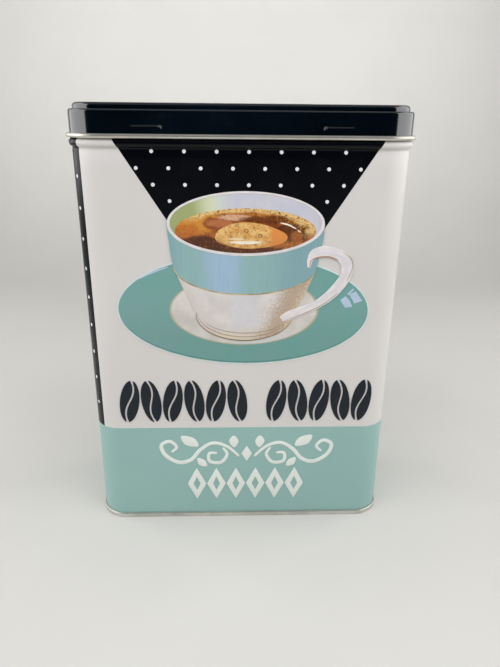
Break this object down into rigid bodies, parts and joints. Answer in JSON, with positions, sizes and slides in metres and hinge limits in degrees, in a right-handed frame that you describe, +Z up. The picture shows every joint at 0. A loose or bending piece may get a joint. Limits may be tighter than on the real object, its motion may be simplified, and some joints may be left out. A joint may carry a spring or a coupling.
{
  "type": "hinged storage tin",
  "caption": "Tall rectangular tinplate canister with rounded corners and a stepped, snap-fitting lid hinged along its back edge.",
  "frame": {"origin": "middle of the footprint, on the surface that the tin stands on", "axes": "+X to the right seen from the front, +Y from the front to the hinged back, +Z up"},
  "size_m": [0.1926, 0.0806, 0.26],
  "materials": {
    "printed_tinplate": "gloss-varnished print in white, soft teal and blue-black",
    "bare_tinplate": "bright tinplate, lightly clouded",
    "black_tinplate": "gloss black lacquer over tinplate, bare inside and on the curl",
    "hinge_wire": "drawn steel wire"
  },
  "bodies": {
    "tin": {"body_shell": "printed_tinplate", "bottom_panel": "bare_tinplate"},
    "lid": {"lid": "black_tinplate", "hinge_pin_left": "hinge_wire", "hinge_pin_right": "hinge_wire"}
  },
  "joints": [
    {"name": "lid_hinge", "type": "hinge", "parent": "tin", "child": "lid", "pos_m": [0, 0.03915, 0.2435], "axis": [-1, 0, 0], "range_deg": [0, 110]}
  ]
}
